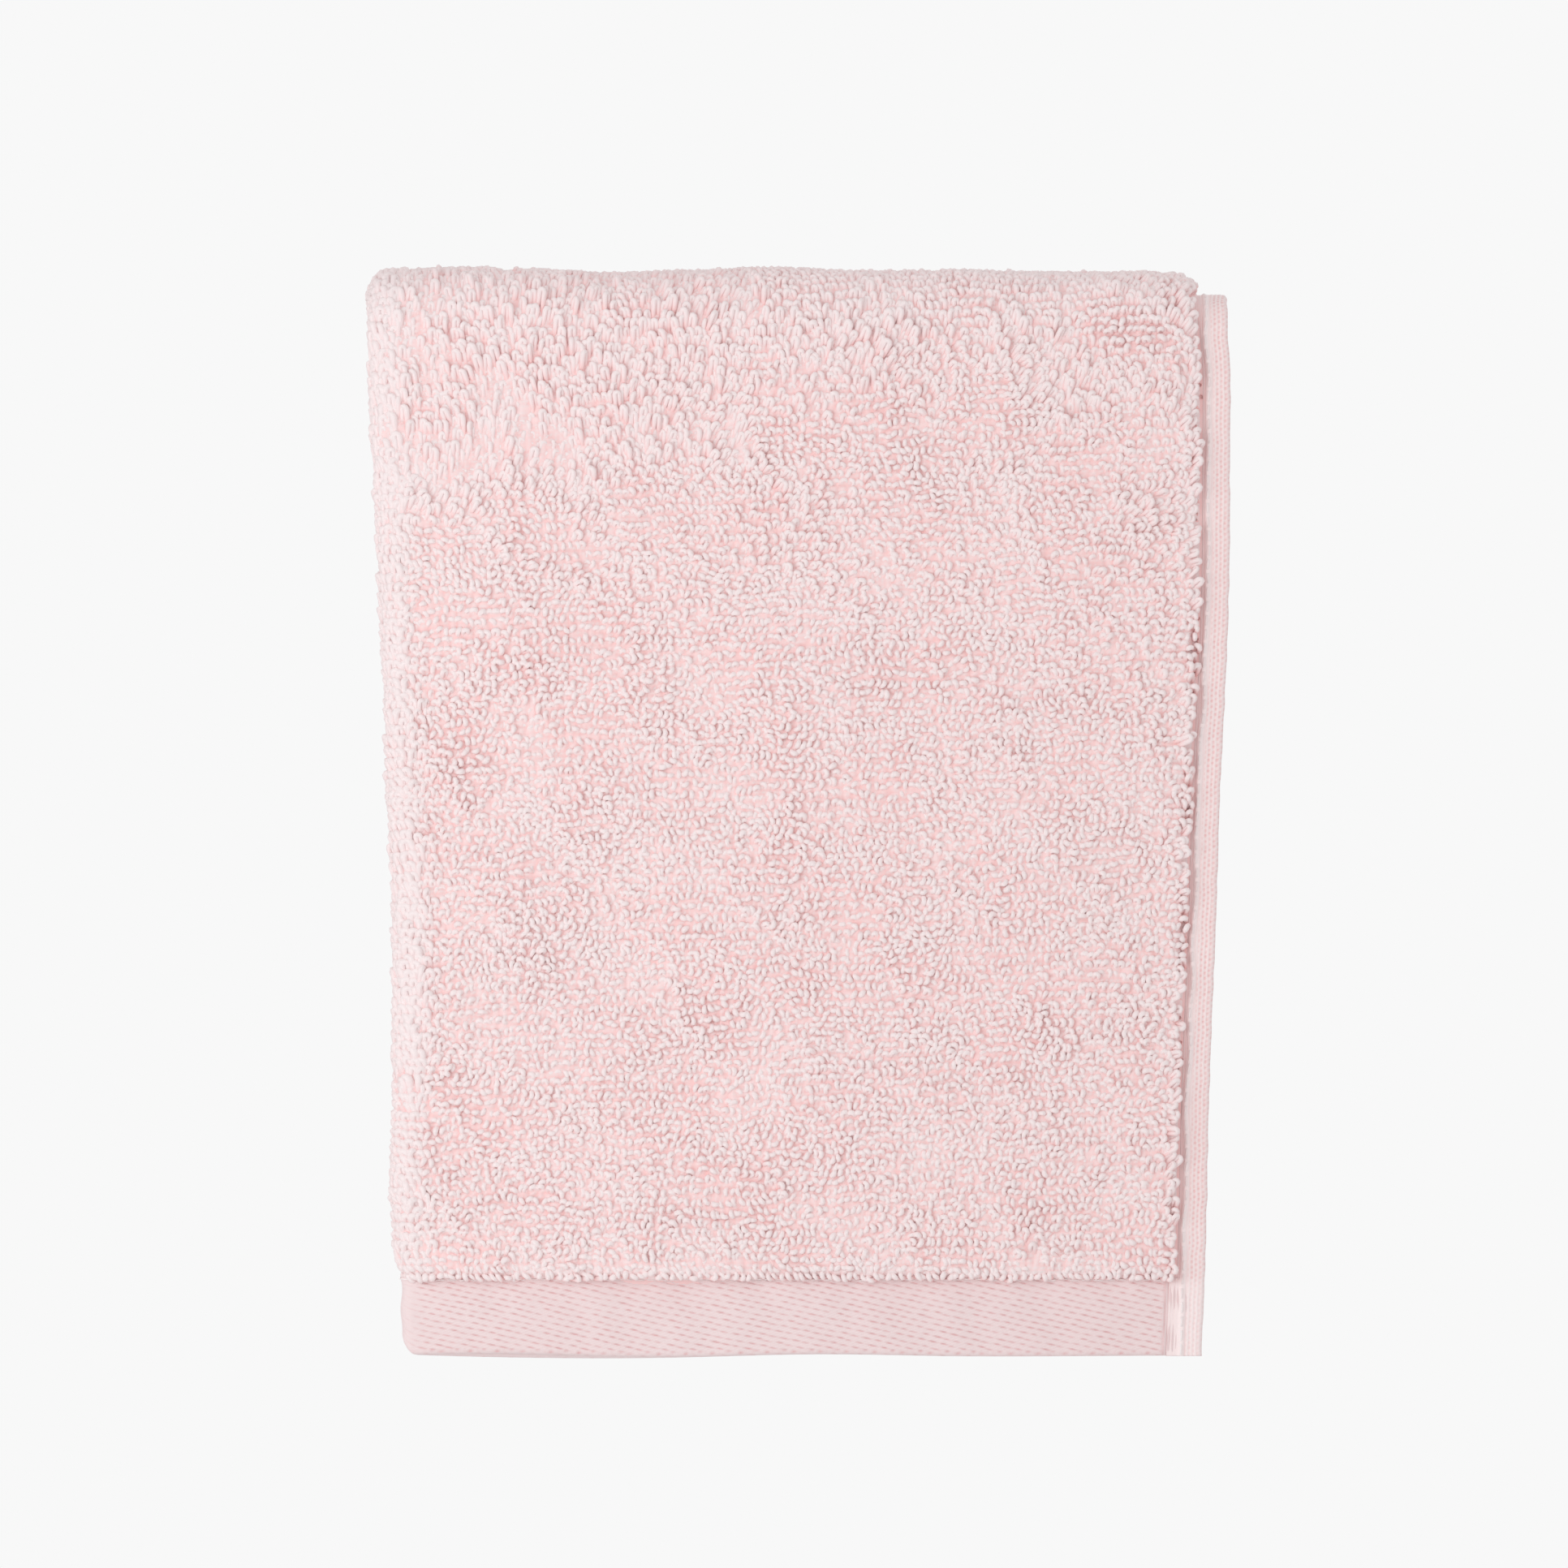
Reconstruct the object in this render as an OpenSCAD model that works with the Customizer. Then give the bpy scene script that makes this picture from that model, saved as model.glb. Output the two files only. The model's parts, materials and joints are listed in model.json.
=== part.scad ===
// A terry face cloth, folded once lengthwise and hung over a rectangular rail.
// Origin: middle of the seat, where the underside of the cloth lies on the rail's top face.
// +X to the right along the rail, -Y to the front, +Z up. Millimetres.

/* [Rail seat] */
// Depth of the rail that the cloth hangs over, front to back
rail_depth = 19; // [16:1:40]
// Inside radius of the cloth where it turns over the rail's edges
edge_round = 1; // [0.8:0.1:2]

/* [Folded cloth] */
// Width of the folded cloth on the rail
top_w = 178; // [150:1:210]
// Width of the folded cloth at the front end hem
hem_w = 166; // [140:1:178]
// Length of the front drop, from the seat down to the lower edge
front_drop = 215.5; // [160:0.5:260]
// Length of the back drop, from the seat down to the lower edge
back_drop = 80; // [60:1:120]
// Thickness of one leaf of terry, with the pile on both its faces
leaf = 5; // [4:0.25:6]
// Space between the outer and the inner leaf
leaf_gap = 0.5; // [0.3:0.1:1]

/* [Hems] */
// Width of the turned hem along each long side
side_hem_w = 6.2; // [5:0.2:9]
// Thickness of the side hem
side_hem_t = 1.8; // [1.2:0.1:2.4]
// Height of the flat woven hem at each end
end_hem_h = 16.4; // [12:0.2:22]
// Thickness of the end hem
end_hem_t = 2.2; // [1.6:0.1:2.8]

/* [Sewing] */
// Width and height of the sewing thread
thread = 0.5; // [0.4:0.05:0.7]
// Distance of the side seam from the free edge
side_seam_in = 4.4; // [3:0.1:4.6]
// Distance of the end seam below the upper edge of the end hem
end_seam_in = 1; // [0.6:0.1:2]

/* [Hidden] */

FRONT = -1;
BACK = 1;
LEFT = -1;
RIGHT = 1;
pile_pink = [0.94, 0.85, 0.85];
hem_pink = [0.93, 0.86, 0.86];
thread_pink = [0.96, 0.90, 0.90];
round_fn = 96;

// Heights: the cloth turns over each rail edge about an axis at bend_z, and hangs from there
bend_y = rail_depth / 2 - edge_round;
bend_z = -edge_round;
front_hem_z = -front_drop + end_hem_h;
back_hem_z = -back_drop + end_hem_h;

// How much each edge comes in for each millimetre down
taper = (top_w - hem_w) / 2 / (front_drop - edge_round);
taper_angle = atan(taper);

// Layers, counted outwards from the rail's surface to [inner face, outer face]
mid = leaf + leaf_gap / 2;
function outer_layer(t) = [mid + leaf_gap / 2, mid + leaf_gap / 2 + t];
function inner_layer(t) = [mid - leaf_gap / 2 - t, mid - leaf_gap / 2];
function on_outer(t) = [outer_layer(t)[1], outer_layer(t)[1] + thread];
function on_inner(t) = [inner_layer(t)[0] - thread, inner_layer(t)[0]];
end_fold_r = leaf_gap / 2 + end_hem_t;
end_corner_r = 0.9 * end_fold_r;

// Sideways positions: half the cloth's width at a height, and [side, distance in from that side]
function half_w(z) = top_w / 2 + min(0, z - bend_z) * taper;
function edge_x(z, from) = from[0] * (half_w(z) - from[1]);
from_fold = [LEFT, mid];
to_side_hem = [RIGHT, side_hem_w];
to_edge = [RIGHT, 0];
seam_in = [RIGHT, side_seam_in + thread / 2];
seam_out = [RIGHT, side_seam_in - thread / 2];
from_end_fold = [LEFT, end_fold_r];

// What hangs behind the rail is drawn as it is, and what hangs in front is its mirror image
module at(face) {
    mirror([0, face == FRONT ? 1 : 0, 0])
        children();
}

// A flat layer of a drop, between two heights and two sideways positions
module drop_layer(face, layer, z_top, z_low, from, to) {
    at(face)
        translate([0, rail_depth / 2 + layer[1], 0])
            rotate([90, 0, 0])
                linear_extrude(height = layer[1] - layer[0])
                    polygon([
                        [edge_x(z_top, from), z_top],
                        [edge_x(z_top, to), z_top],
                        [edge_x(z_low, to), z_low],
                        [edge_x(z_low, from), z_low]
                    ]);
}

// A flat layer on top of the rail
module crown_layer(layer, from, to) {
    translate([edge_x(0, from), -bend_y, layer[0]])
        cube([edge_x(0, to) - edge_x(0, from), 2 * bend_y, layer[1] - layer[0]]);
}

// A layer that turns over one edge of the rail; drawn in the plane of [radius, -X]
module bend_sweep(face) {
    at(face)
        translate([0, bend_y, bend_z])
            rotate([0, -90, 0])
                rotate_extrude(angle = 90, $fn = round_fn)
                    children();
}

module bend_layer(face, layer, from, to) {
    bend_sweep(face)
        translate([edge_round + layer[0], -edge_x(0, to)])
            square([layer[1] - layer[0], edge_x(0, to) - edge_x(0, from)]);
}

// Half a disc, with its flat side on the Y axis and its round side towards -X
module half_disc(r) {
    intersection() {
        circle(r = r, $fn = round_fn);
        translate([-r, -r])
            square([r, 2 * r]);
    }
}

// The rounded edge where the outer leaf turns into the inner one, down the left side of a drop
module drop_fold(face, r, z_top, z_low) {
    spare = 2 * r;
    at(face)
        intersection() {
            translate([edge_x(z_low, [LEFT, r]), rail_depth / 2 + mid, z_low])
                rotate([0, -taper_angle, 0])
                    translate([0, 0, -spare])
                        linear_extrude(height = z_top - z_low + 2 * spare)
                            half_disc(r);
            translate([-top_w, rail_depth / 2 + mid - spare, z_low])
                cube([2 * top_w, 2 * spare, z_top - z_low]);
        }
}

// The left edge of an end hem, whose lower corner is rounded
module end_fold(face, z_top, z_low) {
    corner_x = edge_x(z_low, [LEFT, 0]);
    intersection() {
        drop_fold(face, end_fold_r, z_top, z_low);
        at(face)
            translate([0, rail_depth / 2 + mid + end_fold_r, 0])
                rotate([90, 0, 0])
                    linear_extrude(height = 2 * end_fold_r)
                        rounded_corner(corner_x, z_low, end_corner_r, end_hem_h);
    }
}

// The quarter plane above and right of a corner, with that corner rounded
module rounded_corner(x, z, r, reach) {
    translate([x + r, z + r])
        circle(r = r, $fn = round_fn);
    translate([x + r, z])
        square([reach, reach + r]);
    translate([x - r, z + r])
        square([reach, reach]);
}

// Crown: the part of the cloth that lies on the rail
module crown_outer_leaf() {
    color(pile_pink)
        crown_layer(outer_layer(leaf), from_fold, to_side_hem);
}

module crown_inner_leaf() {
    color(pile_pink)
        crown_layer(inner_layer(leaf), from_fold, to_side_hem);
}

module crown_left_fold() {
    color(pile_pink)
        translate([edge_x(0, from_fold), bend_y, mid])
            rotate([90, 0, 0])
                linear_extrude(height = 2 * bend_y)
                    half_disc(mid);
}

module crown_side_hem(layer) {
    color(hem_pink)
        crown_layer(layer, to_side_hem, to_edge);
}

module crown_side_hem_seams() {
    color(thread_pink)
        for (layer = [on_outer(side_hem_t), on_inner(side_hem_t)])
            crown_layer(layer, seam_in, seam_out);
}

// Bends: where the cloth turns down over the rail's front and back edges
module bend_leaf(face, layer) {
    color(pile_pink)
        bend_layer(face, layer, from_fold, to_side_hem);
}

module bend_left_fold(face) {
    color(pile_pink)
        bend_sweep(face)
            translate([edge_round + mid, -edge_x(0, from_fold)])
                rotate(-90)
                    half_disc(mid);
}

module bend_side_hems(face) {
    color(hem_pink)
        for (layer = [outer_layer(side_hem_t), inner_layer(side_hem_t)])
            bend_layer(face, layer, to_side_hem, to_edge);
}

module bend_side_hem_seams(face) {
    color(thread_pink)
        for (layer = [on_outer(side_hem_t), on_inner(side_hem_t)])
            bend_layer(face, layer, seam_in, seam_out);
}

// Drops: what hangs in front of the rail and behind it
module drop_leaf(face, layer, hem_z) {
    color(pile_pink)
        drop_layer(face, layer, bend_z, hem_z, from_fold, to_side_hem);
}

module drop_left_fold(face, hem_z) {
    color(pile_pink)
        drop_fold(face, mid, bend_z, hem_z);
}

module drop_side_hem(face, layer, hem_z) {
    color(hem_pink)
        drop_layer(face, layer, bend_z, hem_z, to_side_hem, to_edge);
}

module drop_side_hem_seams(face, hem_z) {
    color(thread_pink)
        for (layer = [on_outer(side_hem_t), on_inner(side_hem_t)])
            drop_layer(face, layer, bend_z, hem_z, seam_in, seam_out);
}

module end_hem(face, layer, hem_z) {
    color(hem_pink)
        drop_layer(face, layer, hem_z, hem_z - end_hem_h, from_end_fold, to_edge);
}

module end_hem_fold(face, hem_z) {
    color(hem_pink)
        end_fold(face, hem_z, hem_z - end_hem_h);
}

// The end hem's own seam along its upper edge, and below it the side seam, which goes on to the corner
module end_hem_seams(face, hem_z) {
    seam_z = hem_z - end_seam_in;
    color(thread_pink)
        for (layer = [on_outer(end_hem_t), on_inner(end_hem_t)]) {
            drop_layer(face, layer, seam_z, seam_z - thread, from_end_fold, to_edge);
            drop_layer(face, layer, seam_z - thread, hem_z - end_hem_h, seam_in, seam_out);
        }
}

crown_outer_leaf();
crown_inner_leaf();
crown_left_fold();
crown_side_hem(outer_layer(side_hem_t));  // crown_outer_side_hem
crown_side_hem(inner_layer(side_hem_t));  // crown_inner_side_hem
crown_side_hem_seams();

bend_leaf(FRONT, outer_layer(leaf));  // front_bend_outer_leaf
bend_leaf(FRONT, inner_layer(leaf));  // front_bend_inner_leaf
bend_left_fold(FRONT);  // front_bend_left_fold
bend_side_hems(FRONT);  // front_bend_side_hems
bend_side_hem_seams(FRONT);  // front_bend_side_hem_seams

bend_leaf(BACK, outer_layer(leaf));  // back_bend_outer_leaf
bend_leaf(BACK, inner_layer(leaf));  // back_bend_inner_leaf
bend_left_fold(BACK);  // back_bend_left_fold
bend_side_hems(BACK);  // back_bend_side_hems
bend_side_hem_seams(BACK);  // back_bend_side_hem_seams

drop_leaf(FRONT, outer_layer(leaf), front_hem_z);  // front_outer_leaf
drop_leaf(FRONT, inner_layer(leaf), front_hem_z);  // front_inner_leaf
drop_left_fold(FRONT, front_hem_z);  // front_left_fold
drop_side_hem(FRONT, outer_layer(side_hem_t), front_hem_z);  // front_outer_side_hem
drop_side_hem(FRONT, inner_layer(side_hem_t), front_hem_z);  // front_inner_side_hem
drop_side_hem_seams(FRONT, front_hem_z);  // front_side_hem_seams
end_hem(FRONT, outer_layer(end_hem_t), front_hem_z);  // front_outer_end_hem
end_hem(FRONT, inner_layer(end_hem_t), front_hem_z);  // front_inner_end_hem
end_hem_fold(FRONT, front_hem_z);  // front_end_hem_fold
end_hem_seams(FRONT, front_hem_z);  // front_end_hem_seams

drop_leaf(BACK, outer_layer(leaf), back_hem_z);  // back_outer_leaf
drop_leaf(BACK, inner_layer(leaf), back_hem_z);  // back_inner_leaf
drop_left_fold(BACK, back_hem_z);  // back_left_fold
drop_side_hem(BACK, outer_layer(side_hem_t), back_hem_z);  // back_outer_side_hem
drop_side_hem(BACK, inner_layer(side_hem_t), back_hem_z);  // back_inner_side_hem
drop_side_hem_seams(BACK, back_hem_z);  // back_side_hem_seams
end_hem(BACK, outer_layer(end_hem_t), back_hem_z);  // back_outer_end_hem
end_hem(BACK, inner_layer(end_hem_t), back_hem_z);  // back_inner_end_hem
end_hem_fold(BACK, back_hem_z);  // back_end_hem_fold
end_hem_seams(BACK, back_hem_z);  // back_end_hem_seams
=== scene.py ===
import json
import math

import bpy
import numpy as np
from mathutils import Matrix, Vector


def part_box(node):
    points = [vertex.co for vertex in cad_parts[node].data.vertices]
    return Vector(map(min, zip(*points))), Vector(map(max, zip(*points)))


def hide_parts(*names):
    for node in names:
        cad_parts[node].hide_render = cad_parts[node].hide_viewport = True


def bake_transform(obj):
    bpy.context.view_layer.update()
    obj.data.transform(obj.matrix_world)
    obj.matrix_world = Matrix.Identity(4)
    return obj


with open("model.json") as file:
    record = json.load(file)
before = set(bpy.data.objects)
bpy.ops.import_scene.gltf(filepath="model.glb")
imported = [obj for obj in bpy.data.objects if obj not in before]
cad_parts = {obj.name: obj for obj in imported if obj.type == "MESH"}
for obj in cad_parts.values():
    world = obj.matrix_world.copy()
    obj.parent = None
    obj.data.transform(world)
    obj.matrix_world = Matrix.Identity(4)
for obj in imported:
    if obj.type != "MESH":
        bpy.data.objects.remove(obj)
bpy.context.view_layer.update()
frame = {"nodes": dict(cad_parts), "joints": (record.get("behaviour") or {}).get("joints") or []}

# A face cloth of pink terry, folded once lengthwise and hung over a rail that isn't part of the object.
# The cloth is worked out in its own coordinates and then bent over the rail:
#   p  across, from the middle of the left fold: positive on the outer leaf, negative on the inner leaf
#   s  along, from the hem of the front drop, up, over the crown and down to the hem of the back drop
#   h  out from the ground cloth, or from the plane between the leaves where a function says so
# Everything below is in millimetres until a mesh is made.
MM = 0.001


def node_box(name):
    low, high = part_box(name)
    return np.array(low) / MM, np.array(high) / MM


def joint_pivot(name):
    found = [j for j in frame["joints"] if j["name"] == name][0]
    return np.array(found["pos_m"]) / MM


# What the frame gives
pivot_front = joint_pivot("front_swing")
pivot_back = joint_pivot("back_swing")
bend_z = pivot_front[2]
bend_radius = -bend_z
crown_length = pivot_back[1] - pivot_front[1]
leaf_low, leaf_high = node_box("crown_outer_leaf")
side_hem_low, side_hem_high = node_box("crown_outer_side_hem")
end_hem_low, end_hem_high = node_box("front_outer_end_hem")
back_hem_low = node_box("back_outer_end_hem")[0]
stack = leaf_high[2]
middle = stack / 2
ground_out = (leaf_low[2] + stack) / 2 - middle
half_top = side_hem_high[0]
half_hem = end_hem_high[0]
front_drop = bend_z - end_hem_low[2]
back_drop = bend_z - back_hem_low[2]
end_hem_h = end_hem_high[2] - end_hem_low[2]
end_hem_out = -end_hem_low[1] - bend_radius + pivot_front[1]
side_hem_w = side_hem_high[0] - side_hem_low[0]
side_hem_out = side_hem_high[2]
side_hem_in = side_hem_low[2]
taper = (half_top - half_hem) / (front_drop - end_hem_h)

# The cloth: laid flat it is 13 inches square
loop_pitch_p = 1.5
loop_pitch_s = 1.8
# How deep the loops' roots sit in the ground cloth
root_depth = 0.35
# How far the pile's loops and its bed reach over the top of the end hems, and over the side hems' channel
hem_reach = 0.9
bed_reach = 0.5
side_reach = 0.3
# How far the side hems and their seams lie lower over the rail than on the drops
side_hem_sink = 1.9
side_seam_sink = 2.3


def ease(x, start, end):
    """0 before start, 1 after end, and smooth between them."""
    t = np.clip((np.asarray(x, float) - start) / (end - start), 0, 1)
    return t * t * (3 - 2 * t)


def bell(x, centre, width):
    return np.exp(-(((np.asarray(x, float) - centre) / width) ** 2))


def scatter(i, j, spin=(12.9898, 78.233), gain=43758.5453):
    """A number from 0 to 1 for each cell (i, j) of a weave, with no pattern from cell to cell."""
    return np.abs(np.sin(spin[0] * i + spin[1] * j) * gain) % 1.0


class Field:
    """A smooth seeded field over the cloth, from about -1 to 1, with features of one size."""

    def __init__(self, seed, size, waves=14):
        rng = np.random.default_rng(seed)
        heading = rng.uniform(0, 2 * np.pi, waves)
        number = 2 * np.pi / (size * rng.uniform(1.4, 3.2, waves))
        self.kx = number * np.cos(heading)
        self.ky = number * np.sin(heading)
        self.phase = rng.uniform(0, 2 * np.pi, waves)
        self.gain = math.sqrt(2.0 / waves)

    def __call__(self, x, y):
        total = np.zeros(np.broadcast(x, y).shape)
        for kx, ky, phase in zip(self.kx, self.ky, self.phase):
            total = total + np.sin(kx * x + ky * y + phase)
        return total * self.gain


class Layer:
    """The lengthwise course of one layer. Its s is true to scale at the height ref above the rail."""

    def __init__(self, ref):
        self.ref = ref
        self.arc = (bend_radius + ref) * math.pi / 2
        self.front_end = front_drop
        self.crown_start = self.front_end + self.arc
        self.crown_middle = self.crown_start + crown_length / 2
        self.crown_end = self.crown_start + crown_length
        self.back_start = self.crown_end + self.arc
        self.end = self.back_start + back_drop

    def below(self, s):
        """How far s lies below the bend, on either drop."""
        return np.maximum(self.front_end - s, 0) + np.maximum(s - self.back_start, 0)

    def place(self, x, s, r):
        """The point at x across, s along and r above the rail, in the row frame."""
        turned = np.clip((s - self.front_end) / self.arc, 0, 1)
        turned = turned + np.clip((s - self.crown_end) / self.arc, 0, 1)
        angle = turned * math.pi / 2
        centre_y = pivot_front[1] + np.clip(s - self.crown_start, 0, crown_length)
        radius = bend_radius + r
        y = centre_y - radius * np.cos(angle)
        z = bend_z + radius * np.sin(angle) - self.below(s)
        return np.stack(np.broadcast_arrays(x, y, z), axis=-1)


# How far the real edges stand out from the straight taper of the CAD
left_bulge_field = Field(11, 34)
right_bulge_field = Field(12, 40)


def left_half(below):
    """Distance from the middle to the left edge, at a depth below the bend."""
    bulge = 1.3 * bell(below, 24, 34) - 0.7 * bell(below, 118, 26) + 1.5 * bell(below, 180, 26)
    curl = 1.0 * ease(below, 195, 200) - 1.05 * ease(below, 200, front_drop)
    return half_top - taper * below + bulge - curl + 0.35 * left_bulge_field(below, 0)


def right_half(below):
    """Distance from the middle to the right edge, at a depth below the bend."""
    bulge = 1.2 * bell(below, 52, 38) + 0.5 * bell(below, 125, 35) - 0.7 * (1 - ease(below, 0, 12))
    return half_top - taper * below + bulge + 0.15 * right_bulge_field(below, 0)


ripple_field = Field(13, 26)


class Fold:
    """The crosswise course of one layer.

    fold_half is the fold's outer radius, and ref the radius at which p is true to scale.
    """

    def __init__(self, layer, ref, fold_half=None):
        self.layer = layer
        self.ref = ref
        self.fold_half = middle if fold_half is None else fold_half
        self.quarter = ref * math.pi / 2
        self.leaf = self.leaf_width(0.0)

    def axis_x(self, below):
        return self.fold_half - left_half(below)

    def leaf_width(self, below):
        """From the fold's axis to the inner edge of the side hem."""
        return right_half(below) - side_hem_w - self.axis_x(below)

    def point(self, p, s, height):
        """The point at p across, s along and height out from the plane between the leaves."""
        below = self.layer.below(s)
        turn = np.clip(p / self.ref, -math.pi / 2, math.pi / 2)
        run = np.maximum(np.abs(p) - self.quarter, 0) * self.leaf_width(below) / self.leaf
        x = self.axis_x(below) - height * np.cos(turn) + run
        r = middle + height * np.sin(turn)
        return self.layer.place(x, s, r)


def hem_distance(layer, s):
    """Distance from s to the top of the nearer end hem."""
    return np.minimum(s - end_hem_h, layer.end - end_hem_h - s)


def on_crown(layer, s):
    """1 on the rail's top, 0 on the drops, and smooth over the bends."""
    arrived = ease(s, layer.front_end - 2, layer.crown_start)
    return arrived * (1 - ease(s, layer.crown_end, layer.back_start + 2))


def ground_height(fold, p, s, raised=0.0):
    """Height of the ground cloth out from the plane between the leaves: it dips into the hems."""
    along_leaf = np.abs(p) - fold.quarter
    to_side = fold.leaf - along_leaf
    to_hem = hem_distance(fold.layer, s)
    dip = 1.0 * (1 - ease(to_side, -1.0, 3.0)) + 1.0 * (1 - ease(to_hem, -1.5, 2.5))
    shoulder = 1.4 * (1 - ease(to_side, 2, 14)) + 3.6 * (1 - ease(to_side, 0.5, 7.0))
    sag = shoulder * on_crown(fold.layer, s) * (p > 0)
    wave = 0.30 * ripple_field(np.sign(p) * along_leaf, s) * ease(to_side, 0, 12)
    inner = ease(to_side, 0.2, 2.4) * ease(to_hem, -0.9, 0.9)
    return ground_out - np.minimum(dip, 1.4) - sag + wave + raised * inner


# Meshes


def mesh_from_quads(name, points, quads, attributes=None, uv=None):
    """A smooth-shaded mesh object from points in millimetres and four-cornered faces."""
    mesh = bpy.data.meshes.new(name)
    points = points.reshape(-1, 3) * MM
    quads = quads.reshape(-1, 4)
    mesh.vertices.add(len(points))
    mesh.vertices.foreach_set("co", points.astype(np.float32).ravel())
    mesh.loops.add(quads.size)
    mesh.loops.foreach_set("vertex_index", quads.astype(np.int32).ravel())
    mesh.polygons.add(len(quads))
    mesh.polygons.foreach_set("loop_start", np.arange(0, quads.size, 4, dtype=np.int32))
    mesh.polygons.foreach_set("use_smooth", np.ones(len(quads), bool))
    for key, values in (attributes or {}).items():
        layer = mesh.attributes.new(key, "FLOAT", "POINT")
        layer.data.foreach_set("value", np.asarray(values, np.float32).ravel())
    if uv is not None:
        mesh.uv_layers.new(name="OFBake").data.foreach_set("uv", uv.astype(np.float32).ravel())
    mesh.update(calc_edges=True)
    mesh.validate()
    piece = bpy.data.objects.new(name, mesh)
    bpy.context.scene.collection.objects.link(piece)
    return piece


def grid_quads(rows, columns, closed=False):
    """Faces of a grid of rows by columns of points; closed joins the last column to the first."""
    last = columns if closed else columns - 1
    i, j = np.meshgrid(np.arange(rows - 1), np.arange(last), indexing="ij")
    k = (j + 1) % columns
    corners = [i * columns + j, i * columns + k, (i + 1) * columns + k, (i + 1) * columns + j]
    return np.stack(corners, axis=-1).reshape(-1, 4)


def grid_uv(rows, columns, closed=False):
    """One texture cell for each face of grid_quads, so that the layout is the grid itself."""
    last = columns if closed else columns - 1
    i, j = np.meshgrid(np.arange(rows - 1), np.arange(last), indexing="ij")
    u = np.stack([j, j + 1, j + 1, j], axis=-1) / last
    v = np.stack([i, i, i + 1, i + 1], axis=-1) / (rows - 1)
    margin = 0.005
    return margin + (1 - 2 * margin) * np.stack([u, v], axis=-1)


def unit(v):
    return v / np.maximum(np.linalg.norm(v, axis=-1, keepdims=True), 1e-9)


def tube_points(path, side_hint, radius, sides, lobes=0.0, twist=0.0):
    """Rings round many paths at once.

    path is (tubes, rings, 3), and side_hint a direction across it for each ring's first point.
    """
    tangent = unit(np.gradient(path, axis=1))
    first = unit(side_hint - tangent * np.sum(side_hint * tangent, axis=-1, keepdims=True))
    second = np.cross(tangent, first)
    angle = np.arange(sides) * 2 * np.pi / sides
    ring = np.arange(path.shape[1])[None, :, None]
    wide = radius[..., None] * (1 + lobes * np.cos(2 * (angle - twist * ring)))
    offset = first[:, :, None] * np.cos(angle)[:, None] + second[:, :, None] * np.sin(angle)[:, None]
    return path[:, :, None] + offset * wide[..., None]


def tube_quads(tubes, rings, sides):
    i, k, j = np.meshgrid(np.arange(tubes), np.arange(rings - 1), np.arange(sides), indexing="ij")
    n = (j + 1) % sides
    base = i * rings * sides
    corners = [base + k * sides + j, base + k * sides + n]
    corners += [base + (k + 1) * sides + n, base + (k + 1) * sides + j]
    return np.stack(corners, axis=-1).reshape(-1, 4)


def tube_uv(tubes, rings, sides):
    """A square cell of the texture for each tube, with its length across the cell."""
    cells = math.ceil(math.sqrt(tubes))
    margin = 0.06
    used = 1 - 2 * margin
    i, k, j = np.meshgrid(np.arange(tubes), np.arange(rings - 1), np.arange(sides), indexing="ij")
    along = np.stack([k, k, k + 1, k + 1], axis=-1) / (rings - 1)
    round_it = np.stack([j, j + 1, j + 1, j], axis=-1) / sides
    u = (i[..., None] % cells + margin + used * along) / cells
    v = (i[..., None] // cells + margin + used * round_it) / cells
    return np.stack([u, v], axis=-1)


# Terry loops


def tilt_of(lean_p, lean_s):
    """How far a loop leans over, in radians: never quite upright, and never flat on the cloth."""
    return np.clip(np.hypot(lean_p, lean_s), 0.01, 1.45)


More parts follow.
